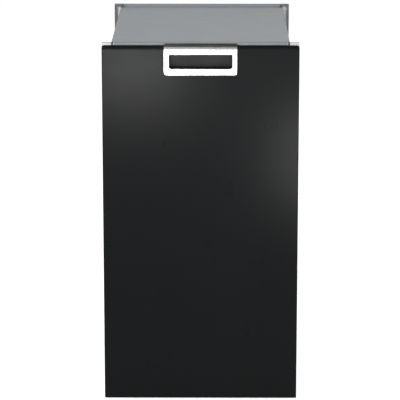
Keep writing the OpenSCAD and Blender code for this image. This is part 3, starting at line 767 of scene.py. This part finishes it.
def makeFrameTrim():
    # a grey strip along the frame's top edge, between the two rubber buffers, and a darker trim
    # down its front to the skin; their darker greys are partly painted shade, for the shade the
    # top plate's front edge throws there
    low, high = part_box("drawer_frame")
    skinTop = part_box("front_skin")[1].z
    rise, edge = sealShape["rise"] * mm, sealShape["edge"] * mm
    inner = min(abs(v.x) for v in pointsOf("corner_buffers")) - sealShape["inset"] * mm
    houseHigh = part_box("handle_housing")[1]
    for side, name in ((-1, "frame_trim_left"), (1, "frame_trim_right")):
        trim = block(name, (side * (houseHigh.x + 0.3 * mm), low.y - rise, skinTop + 0.1 * mm),
                     (side * inner, low.y + 0.2 * mm, high.z + rise))
        soften(trim, edge, 2, 30)
        finish(trim, look="trim_grey_painted_shade", body="drawer", slot="rubber")
    piece = block("frame_top_seal", (-inner, low.y + 0.1 * mm, high.z - 0.3 * mm),
                  (inner, high.y - 0.1 * mm, high.z + rise))
    soften(piece, edge, 2, 30)
    finish(piece, look="seal_grey_painted_shade", body="drawer", slot="rubber")


makeFrontSkin()
makeHandleBezel()
makeHandleHousing()
makeFrameTrim()
print("drawer front made")


# ---- cabinet ----

topShape = dict(edge=0.25, hem=12.0, hemInset=4.0, hemRise=0.3, cove=4.5)


def makeTopPlate():
    # the plate with its rear upstand, and a doubled hem along the front edge
    low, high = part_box("top_plate")
    t = topShape
    piece = welded("top_plate_folded", "top_plate")
    spots = pointsOf("top_plate")
    top = max(v.z for v in spots if v.z < high.z - 2 * mm)
    hem = block("hem", (low.x + t["hemInset"] * mm, low.y, top - 0.2 * mm),
                (high.x - t["hemInset"] * mm, low.y + t["hem"] * mm, top + t["hemRise"] * mm))
    carve(piece, hem, "UNION")
    # the sheet runs up into its rear upstand in a hollow curve
    strip = [v for v in spots if v.z > high.z - 0.1 * mm]
    left, right = min(v.x for v in strip), max(v.x for v in strip)
    foot, crest, base = min(v.y for v in strip), high.z - 0.6 * mm, top - 0.2 * mm
    curve = [(foot - t["cove"] * mm * (1 - math.sin(quarter * i / 8)),
              base + (crest - base) * (1 - math.cos(quarter * i / 8))) for i in range(9)]
    cove = outline("cove", curve + [(foot + 0.6 * mm, crest), (foot + 0.6 * mm, base)],
                   left + 0.2 * mm, right - 0.2 * mm, "X")
    carve(piece, cove, "UNION")
    soften(piece, t["edge"] * mm, 2, 40)
    finish(piece, "top_plate")


sideShape = dict(inset=46.0, bottom=210.0, corner=16.0, rise=1.4, edge=0.4)


def makeSidePanel(node, side):
    # the sheet with a pressed field, over the CAD node's own folds and louvre slots
    low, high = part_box(node)
    outer = high.x if side > 0 else low.x
    s = sideShape
    face = outer + side * s["rise"] * mm
    piece = welded(node + "_pressed", node)
    pressed(piece, (outer - side * 0.6 * mm, low.y + s["inset"] * mm, low.z + s["bottom"] * mm),
            (face, high.y - s["inset"] * mm, high.z - s["inset"] * mm),
            "X", face, s["corner"] * mm, s["rise"] * mm)
    soften(piece, s["edge"] * mm, 2, 40)
    finish(piece, node)


# the cross recess: its half length as a share of the head's radius, its half width, and how
# far up the head's rise its floor is
headShape = dict(slotReach=0.5, slotHalf=0.45, slotFloor=0.35)


def makeScrewHeads():
    # pan heads with a cross recess, one for each solid of the CAD node
    h = headShape
    heads = []
    for spot, half in loosePlaces("cabinet_screws"):
        axis = 0 if half.x < half.y else 1
        outward = 1 if spot[axis] > 0 else -1
        radius, rise = max(half), half[axis] * 2
        dropSelection()
        bpy.ops.mesh.primitive_uv_sphere_add(segments=24, ring_count=12, radius=radius)
        head = named(bpy.context.object, "head")
        head.scale = (1, 1, rise / radius)
        settle(head)
        onWhole(head, bpy.ops.mesh.bisect, plane_co=(0, 0, 0), plane_no=(0, 0, 1),
                clear_inner=True, use_fill=True)
        reach, thin = radius * h["slotReach"], h["slotHalf"] * mm
        for turn in (0, quarter):
            slot = block("slot", (-reach, -thin, rise * h["slotFloor"]),
                         (reach, thin, rise * 1.5))
            slot.rotation_euler.z = turn
            settle(slot)
            carve(head, slot)
        head.rotation_euler[1 - axis] = outward * (quarter if axis == 0 else -quarter)
        spot[axis] -= outward * half[axis]
        head.location = spot
        heads.append(settle(head))
    finish(smooth(joined("cabinet_screws_pan_heads", heads)), "cabinet_screws")


backShape = dict(beadX=150.0, beadHalf=9.0, beadRise=1.6, beadInset=190.0, edge=0.4)


def makeBackPanel():
    # the CAD sheet with two pressed upright beads
    low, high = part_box("back_panel")
    b = backShape
    piece = welded("back_panel_pressed", "back_panel")
    half, inset, face = b["beadHalf"] * mm, b["beadInset"] * mm, high.y + b["beadRise"] * mm
    for side in (-1, 1):
        x = side * b["beadX"] * mm
        pressed(piece, (x - half, high.y - 0.5 * mm, low.z + inset),
                (x + half, face, high.z - inset),
                "Y", face, half * 0.98, b["beadRise"] * 0.98 * mm)
    soften(piece, b["edge"] * mm, 2, 40)
    finish(piece, "back_panel")


bracketShape = dict(lip=1.6, edge=0.5)


def makeBrackets():
    # each corner angle with rounded lips
    piece = welded("anchor_brackets_folded", "anchor_brackets")
    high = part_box("anchor_brackets")[1]
    roundEdges(piece, along("Y", lambda p, q: not near(p.y, q.y) and near(p.z, high.z)
                            and near(abs(p.x), high.x)), bracketShape["lip"] * mm, 4)
    soften(piece, bracketShape["edge"] * mm, 2, 40)
    finish(piece, "anchor_brackets")


makeTopPlate()
makeBackPanel()
makeBrackets()
makeSidePanel("side_panel_right", 1)
makeSidePanel("side_panel_left", -1)
makeScrewHeads()
print("cabinet made")


# ---- bin and ram ----

binShape = dict(corner=20.0, wall=2.5, rim=2.5, rimHeight=10.0, foot=5.0,
                beads=(0.34, 0.62), beadHeight=12.0, beadRise=1.3,
                slotLength=92.0, slotHeight=20.0, slotDrop=52.0)


def makeTrashBin():
    low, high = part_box("trash_bin")
    b = binShape
    rim, wall, corner = b["rim"] * mm, b["wall"] * mm, b["corner"] * mm

    def loop(name, inset, bottom, top):
        # an upright solid with round corners, its sides set in from the bin's widest outline
        step = Vector((inset, inset, 0))
        return outline(name, roundedPoints(low + step, high - step, corner + rim - inset),
                       bottom, top, "Z")

    def band(name, rise, bottom, top, edge):
        part = loop(name, rim - rise, bottom, top)
        ends = [level("Z", bottom), level("Z", top)]
        return roundEdges(part, lambda p, q: any(end(p, q) for end in ends), edge, 4)

    piece = loop("bin_body", rim, low.z, high.z - 2 * mm)
    roundEdges(piece, level("Z", low.z), b["foot"] * mm, 5)
    carve(piece, band("rim", rim, high.z - b["rimHeight"] * mm, high.z, rim * 0.95), "UNION")
    half, rise = b["beadHeight"] * mm / 2, b["beadRise"] * mm
    for share in b["beads"]:
        middle = low.z + (high.z - low.z) * share
        carve(piece, band("bead", rise, middle - half, middle + half, rise * 0.98), "UNION")
    inside = loop("inside", rim + wall, low.z + wall, high.z + 10 * mm)
    roundEdges(inside, level("Z", low.z + wall), (b["foot"] - b["wall"]) * mm, 4)
    carve(piece, inside)
    middle, half = (low.y + high.y) / 2, b["slotLength"] * mm / 2
    top, tall = high.z - b["slotDrop"] * mm, b["slotHeight"] * mm
    slot = block("slot", (low.x - 10 * mm, middle - half, top - tall),
                 (high.x + 10 * mm, middle + half, top))
    carve(piece, roundEdges(slot, along("X"), tall * 0.49, 8))
    finish(smooth(named(piece, "trash_bin_pressed"), 30), "trash_bin")


# ribs: where each is across the platen, as a share of its half width
platenShape = dict(ribHeight=4.0, ribHalf=7.0, ribInset=26.0, ribEdge=3.0,
                   ribs=(-0.715, 0.715), edge=1.2)


def makeRamPlaten():
    low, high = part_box("ram_platen")
    r = platenShape
    piece = welded("ram_platen_pressed", "ram_platen")
    half, inset, face = r["ribHalf"] * mm, r["ribInset"] * mm, high.z + r["ribHeight"] * mm
    for share in r["ribs"]:
        middle = (low.x + high.x) / 2 + share * (high.x - low.x) / 2
        pressed(piece, (middle - half, low.y + inset, high.z - mm),
                (middle + half, high.y - inset, face),
                "Z", face, half * 0.98, r["ribEdge"] * mm, (6, 4))
    soften(piece, r["edge"] * mm, 3, 40)
    finish(piece, "ram_platen", look="bin_steel")


screwShape = dict(lead=6.0, root=0.74, base=1.9, crest=1.15, sides=20)


def makePowerScrew(node):
    # journals at the core's radius, with a trapezoidal thread of the ram's own lead
    low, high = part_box(node)
    t = screwShape
    axis = middleOf(node).xy
    crest = (high.x - low.x) / 2
    wide = [v.z for v in pointsOf(node) if (v.xy - axis).length > crest * 0.97]
    bottom, top = min(wide), max(wide)
    journal, collar, root = crest - 2 * mm, crest * 0.96, crest * t["root"]
    chamfer, lead = 0.6 * mm, t["lead"] * mm
    core = turned("core", [(0, low.z), (journal - chamfer, low.z), (journal, low.z + chamfer),
                           (journal, bottom), (collar, bottom), (collar, bottom + mm),
                           (root, bottom + 2 * mm), (root, top - 2 * mm), (collar, top - mm),
                           (collar, top), (journal, top), (journal, high.z - chamfer),
                           (journal - chamfer, high.z), (0, high.z)], (*axis, 0), 32)
    turns = int((top - bottom - 4 * mm) / lead) - 1
    start = bottom + 2 * mm + lead / 2
    foot, base, tip = root - 0.4 * mm, t["base"] * mm, t["crest"] * mm
    ridge = turned("thread", [(foot, start - base), (crest, start - tip), (crest, start + tip),
                              (foot, start + base)], (*axis, 0), t["sides"], lead, turns)
    finish(smooth(joined(node + "_threaded", [core, ridge]), 40), node)


makeTrashBin()
makeRamPlaten()
makePowerScrew("power_screw_left")
makePowerScrew("power_screw_right")
print("bin and ram made")


# ---- drive ----

chainShape = dict(pitch=8.0, teeth=12, idlerTeeth=8, plateHalf=3.1, waist=2.1, plate=1.1,
                  inner=2.0, outer=3.3, roller=2.45, pin=1.2)


def chainPath():
    # the pitch line round the three sprockets and the idler, as evenly spaced points
    c = chainShape
    wheels = [(middleOf(node).xy, c["pitch"] * mm / (2 * math.sin(math.pi / c[teeth])))
              for node, teeth in (("power_screw_right", "teeth"), ("idler_sprocket", "idlerTeeth"),
                                  ("drive_shaft", "teeth"), ("power_screw_left", "teeth"))]
    touches = []
    for (a, ra), (b, rb) in zip(wheels, wheels[1:] + wheels[:1]):
        ahead = (b - a).normalized()
        lean = (ra - rb) / (b - a).length
        normal = ahead * lean + Vector((ahead.y, -ahead.x)) * math.sqrt(1 - lean * lean)
        touches.append((a + normal * ra, b + normal * rb, math.atan2(normal.y, normal.x)))
    line = []
    for i, (start, end, angle) in enumerate(touches):
        line += [start, end]
        centre, radius = wheels[(i + 1) % len(wheels)]
        turn = (touches[(i + 1) % len(touches)][2] - angle) % (2 * math.pi)
        steps = max(2, int(turn / 0.05))
        line += [centre + Vector((math.cos(angle + turn * k / steps),
                                  math.sin(angle + turn * k / steps))) * radius
                 for k in range(1, steps)]
    line.append(line[0])
    runs = [(b - a).length for a, b in zip(line, line[1:])]
    count = 2 * round(sum(runs) / (c["pitch"] * mm) / 2)
    gap = sum(runs) / count
    spots, walked, index = [], 0.0, 0
    for n in range(count):
        goal = n * gap
        while walked + runs[index] < goal:
            walked += runs[index]
            index += 1
        share = (goal - walked) / runs[index]
        spots.append(line[index].lerp(line[index + 1], share))
    return spots


def makeLinkPlate(name, z, length):
    # a figure-of-eight plate from the origin to (length, 0)
    c = chainShape
    half, waist = c["plateHalf"] * mm, c["waist"] * mm
    points = (arc((length, 0), half, -90, 90, 6) + [(length / 2, waist)]
              + arc((0, 0), half, 90, 270, 6) + [(length / 2, -waist)])
    return outline(name, points, z, z + c["plate"] * mm, "Z")


def makeDriveChain():
    middle = middleOf("drive_chain").z
    c = chainShape
    spots = chainPath()
    length = (spots[1] - spots[0]).length
    kinds = []
    for edge, name, radius, tall, sides in (
            (c["outer"], "pin", c["pin"], 2 * c["outer"] + 0.5, 10),
            (c["inner"], "roller", c["roller"], 2 * (c["inner"] - c["plate"]), 14)):
        parts = [makeLinkPlate("plate", middle + (edge - c["plate"]) * mm, length),
                 makeLinkPlate("plate", middle - edge * mm, length)]
        parts += [rod(name, (x, 0, middle), radius * mm, tall * mm, sides) for x in (0, length)]
        kinds.append(joined("link", parts))
    links = []
    for n, spot in enumerate(spots):
        ahead = spots[(n + 1) % len(spots)] - spot
        link = linked("link", kinds[n % 2].data.copy())
        link.rotation_euler.z = math.atan2(ahead.y, ahead.x)
        link.location = (spot.x, spot.y, 0)
        links.append(link)
    for kind in kinds:
        bpy.data.objects.remove(kind)
    piece = smooth(settle(joined("drive_chain_links", links)), 40)
    finish(piece, "drive_chain", look="dark_steel")


# seam: how far in the bells end, with how far in the sheets between them are
motorShape = dict(bell=0.24, seam=1.2, sheets=22, sheetInset=2.2, neck=((8, -2), (10, 0)),
                  foot=((5, 0), (1.5, 1.5), (0, 5)), shoulder=((0, -6), (2, -2), (6, 0), (8, 0)),
                  vents=10, ventHalf=4.5, ventCorner=2.5,
                  bolts=4, boltRadius=3.2, boltHeight=3.2, boltInset=4.4)


def makeMotor():
    low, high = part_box("motor_body")
    m = motorShape
    axis = middleOf("motor_body").xy
    radius = (high.x - low.x) / 2
    shoulder = max(v.z for v in pointsOf("motor_body") if (v.xy - axis).length > radius * 0.95)
    bell = (shoulder - low.z) * m["bell"]
    sheet = radius - m["sheetInset"] * mm
    profile = ([(0, low.z)] + stepped(radius, low.z, m["foot"])
               + stepped(radius, low.z + bell, ((0, -1), (m["seam"], 0))))
    pitch = (shoulder - low.z - 2 * bell) / m["sheets"]
    for i in range(m["sheets"]):
        z = low.z + bell + i * pitch
        profile += [(sheet - mm, z), (sheet, z + 0.2 * pitch), (sheet, z + 0.8 * pitch)]
    profile += (stepped(radius, shoulder - bell, ((m["seam"], 0), (0, 1)))
                + stepped(radius, shoulder, m["shoulder"]) + stepped(radius, high.z, m["neck"])
                + [(0, high.z)])
    body = turned("stack", profile, (*axis, 0), 64)
    # vents in the upper bell, and the through bolts that clamp the two bells
    for i in range(m["vents"]):
        slot = block("vent", (radius - 6 * mm, -m["ventHalf"] * mm, shoulder - bell + 5 * mm),
                     (radius + 5 * mm, m["ventHalf"] * mm, shoulder - 9 * mm))
        roundEdges(slot, along("X"), m["ventCorner"] * mm, 4)
        slot.rotation_euler.z = 2 * math.pi * (i + 0.5) / m["vents"]
        slot.location = (*axis, 0)
        carve(body, settle(slot))
    parts = [body]
    for i in range(m["bolts"]):
        a = 2 * math.pi * (i + 0.5) / m["bolts"]
        spot = axis + Vector((math.cos(a), math.sin(a))) * (radius - m["boltInset"] * mm)
        parts.append(rod("bolt", (*spot, shoulder + 0.4 * mm), m["boltRadius"] * mm,
                         m["boltHeight"] * mm, 6))
    finish(smooth(joined("motor_body_wound", parts)), "motor_body")


makeDriveChain()
makeMotor()
print("drive made")


# ---- small pieces ----

footShape = dict(pad=5.0, dome=7.4, nut=9.6, nutRadius=8.0, nutHeight=4.6, stud=4.6, lead=1.5)


def makeFeet():
    parts = []
    f = footShape
    pad, dome, stud, lead = [f[label] * mm for label in ("pad", "dome", "stud", "lead")]
    for spot, half in loosePlaces("levelling_feet"):
        radius = half.x
        top = spot.z + half.z
        centre = (*spot.xy, 0)
        parts.append(turned("pad", [(0, 0.6 * mm), (radius * 0.55, 0.6 * mm), (radius * 0.6, 0),
                                    (radius - 1.2 * mm, 0), (radius, 1.2 * mm),
                                    (radius, pad - mm), (radius - 1.5 * mm, pad),
                                    (radius * 0.62, dome - 0.4 * mm), (radius * 0.4, dome),
                                    (0, dome)], centre, 40))
        nut = rod("nut", (*spot.xy, f["nut"] * mm), f["nutRadius"] * mm, f["nutHeight"] * mm, 6)
        parts.append(soften(nut, 0.5 * mm, 2, 40))
        parts.append(rod("stud", (*spot.xy, (11 * mm + top) / 2), stud * 0.84, top - 11 * mm, 20))
        turns = max(int((top - 12 * mm) / lead) - 1, 1)
        parts.append(turned("stud_thread", [(stud * 0.8, 12.1 * mm), (stud, 12.7 * mm),
                                            (stud, 12.9 * mm), (stud * 0.8, 13.5 * mm)],
                            centre, 20, lead, turns))
    finish(smooth(joined("levelling_feet_moulded", parts), 40), "levelling_feet")


bumperShape = dict(foot=((0, 0), (0, 2.5), (1.8, 3.4)), dip=2.0,
                   tip=((2.4, -3), (3.4, -1), (5, 0), (7.5, 0), (8.5, -2)))


def makeBumpers():
    parts = []
    b = bumperShape
    for spot, half in loosePlaces("wall_bumpers"):
        r, length = half.x, half.y * 2
        pad = turned("bumper", [(0, 0)] + stepped(r, 0, b["foot"]) + stepped(r, length, b["tip"])
                     + [(0, length - b["dip"] * mm)], (0, 0, 0), 40)
        parts.append(facingY(pad, (spot.x, spot.y - half.y, spot.z), 1))
    finish(smooth(joined("wall_bumpers_moulded", parts), 40), "wall_bumpers")


buttonShape = dict(face=((0, -1.6), (0.5, -0.6), (1.4, 0), (2.2, -0.2), (4, -0.8)), dip=1.2)


def makeStartButton():
    low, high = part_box("start_button")
    centre = middleOf("start_button")
    r, length = (high.x - low.x) / 2, high.y - low.y
    profile = ([(0, 0), (r, 0)] + stepped(r, length, buttonShape["face"])
               + [(0, length - buttonShape["dip"] * mm)])
    cap = turned("start_button_capped", profile, (0, 0, 0))
    facingY(cap, (centre.x, high.y, centre.z))
    finish(smooth(cap, 40), "start_button")


capacitorShape = dict(
    foot=((2, 0), (0, 2)), dip=2.2,
    rim=((0, -8), (1.2, -6.5), (1.2, -5), (0, -3.5), (0.4, -1.2), (1.6, -0.6), (2.4, -2.2)),
    terminalX=6.0, terminalHalf=(0.4, 3.0), terminalSink=3.0, terminalRise=5.0)


def makeCapacitor():
    low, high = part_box("motor_capacitor")
    centre = middleOf("motor_capacitor")
    r = (high.x - low.x) / 2
    c = capacitorShape
    profile = ([(0, low.z)] + stepped(r, low.z, c["foot"]) + stepped(r, high.z, c["rim"])
               + [(0, high.z - c["dip"] * mm)])
    parts = [turned("can", profile, (*centre.xy, 0))]
    halfX, halfY = [value * mm for value in c["terminalHalf"]]
    for side in (-1, 1):
        x = centre.x + side * c["terminalX"] * mm
        parts.append(block("terminal",
                           (x - halfX, centre.y - halfY, high.z - c["terminalSink"] * mm),
                           (x + halfX, centre.y + halfY, high.z + c["terminalRise"] * mm)))
    finish(smooth(joined("motor_capacitor_can", parts), 40), "motor_capacitor")


loomShape = dict(
    radius=3.5, bend=9.0, tie=0.7, tieGap=95.0,
    main=((-135, 272.5, 111.5), (-135, 272.5, 844.5), (90, 272.5, 844.5), (90, -183, 844.5),
          (90, -183, 818.5), (90, -207, 818.5)),
    branch=((-135, 272.5, 140), (-43, 272.5, 140)))


def makeWiringLoom():
    # round sleeved runs with a bend at each corner, and a cable tie every so often
    w = loomShape
    r, bend = w["radius"] * mm, w["bend"] * mm
    main, branch = [[Vector(spot) * mm for spot in w[run]] for run in ("main", "branch")]
    # the branch ends at the motor's round side
    motorLow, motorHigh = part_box("motor_body")
    middle = (motorLow + motorHigh) / 2
    reach = (motorHigh.x - motorLow.x) / 2
    inward = branch[1].y - r - middle.y
    branch[1].x = middle.x - math.sqrt(max(reach ** 2 - inward ** 2, 0)) - 0.4 * mm
    parts = [tube("main_run", main, r, bend, 16), tube("branch_run", branch, r * 0.8, bend)]
    for first, last in zip(main[:3], main[1:4]):
        run = last - first
        axis = "XYZ"[max(range(3), key=lambda i: abs(run[i]))]
        count = int(run.length / (w["tieGap"] * mm))
        parts += [ring("tie", first + run * ((i + 0.5) / count), r, w["tie"] * mm, axis, 24, 8)
                  for i in range(count)]
    finish(smooth(joined("wiring_loom_tied", parts), 50), "wiring_loom")


# mark: a groove's width, with how far it is from the middle, its half length and its depth
rockerShape = dict(dip=1.5, pin=1.5, pinBack=6.0, flank=3.6, mark=0.5, markOff=5.0,
                   markHalf=6.0, markDepth=1.1)


def makePowerRocker():
    # a rocker with a dished front, on the pin it tips about
    low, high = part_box("power_rocker")
    r = rockerShape
    inner, outer = low.x + r["flank"] * mm, high.x - r["flank"] * mm
    middle = (low + high) / 2
    dish = [(low.y + r["dip"] * mm * math.cos(quarter * i / 6),
             middle.z + i / 6 * (high.z - middle.z)) for i in range(-6, 7)]
    cap = outline("power_rocker_dished", dish + [(high.y, high.z), (high.y, low.z)], inner, outer,
                  "X")
    roundEdges(cap, lambda p, q: near(p.x, q.x) and max(p.y, q.y) < high.y - mm,
               r["mark"] * mm, 3)
    half, thin = r["markHalf"] * mm, r["mark"] * mm / 2
    for side in (-1, 1):
        z = middle.z + side * r["markOff"] * mm
        carve(cap, block("groove", (middle.x - half, low.y - mm, z - thin),
                         (middle.x + half, low.y + r["markDepth"] * mm, z + thin)))
    pin = rod("pin", (middle.x, low.y + r["pinBack"] * mm, middle.z), r["pin"] * mm,
              high.x - low.x, 24, "X")
    finish(smooth(joined("power_rocker_pinned", [cap, pin]), 40), "power_rocker")


podShape = dict(collar=11.4, wire=1.1, faceBack=10.0, edge=0.6)


def makeControlPod():
    # the moulding with a raised collar around the start button
    button = middleOf("start_button")
    p = podShape
    pod = soften(welded("control_pod_moulded", "control_pod"), p["edge"] * mm, 2, 40)
    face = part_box("control_pod")[0].y + p["faceBack"] * mm
    collar = ring("collar", (button.x, face, button.z), p["collar"] * mm, p["wire"] * mm, "Y")
    finish(smooth(joined("control_pod_collared", [pod, collar]), 40), "control_pod")


frameBack = dict(bottom=622.0, top=770.0, inset=34.0, depth=0.8, corner=16.0, edge=0.4)


def makeDrawerFrame():
    # the door's steel frame, with a field pressed into its back above the bin
    low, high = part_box("drawer_frame")
    f = frameBack
    piece = welded("drawer_frame_pressed", "drawer_frame")
    inset, depth, face = f["inset"] * mm, f["depth"] * mm, high.y - f["depth"] * mm
    pressed(piece, (low.x + inset, face, f["bottom"] * mm),
            (high.x - inset, high.y + 3 * mm, f["top"] * mm),
            "Y", face, f["corner"] * mm, depth * 0.9, (8, 3), "DIFFERENCE")
    soften(piece, f["edge"] * mm, 2, 40)
    finish(piece, "drawer_frame")


makeFeet()
makeBumpers()
makeStartButton()
makeCapacitor()
makeWiringLoom()
makePowerRocker()
makeControlPod()
makeDrawerFrame()
print("small pieces made")


# ---- every CAD node that keeps its shape, with softened edges ----

edgeWidth = {"default": 0.5, "bag_ring": 1.6, "corner_buffers": 1.2, "drawer_tray": 0.7,
             "limit_switches": 0.9, "power_inlet": 0.8, "catch_magnets": 0.4}


def softenedNode(node):
    piece = welded(node + "_soft", node)
    soften(piece, edgeWidth.get(node, edgeWidth["default"]) * mm, 2)
    finish(piece, node)


for node in sorted(set(nodes) - replacedNodes):
    softenedNode(node)
print("nodes softened")
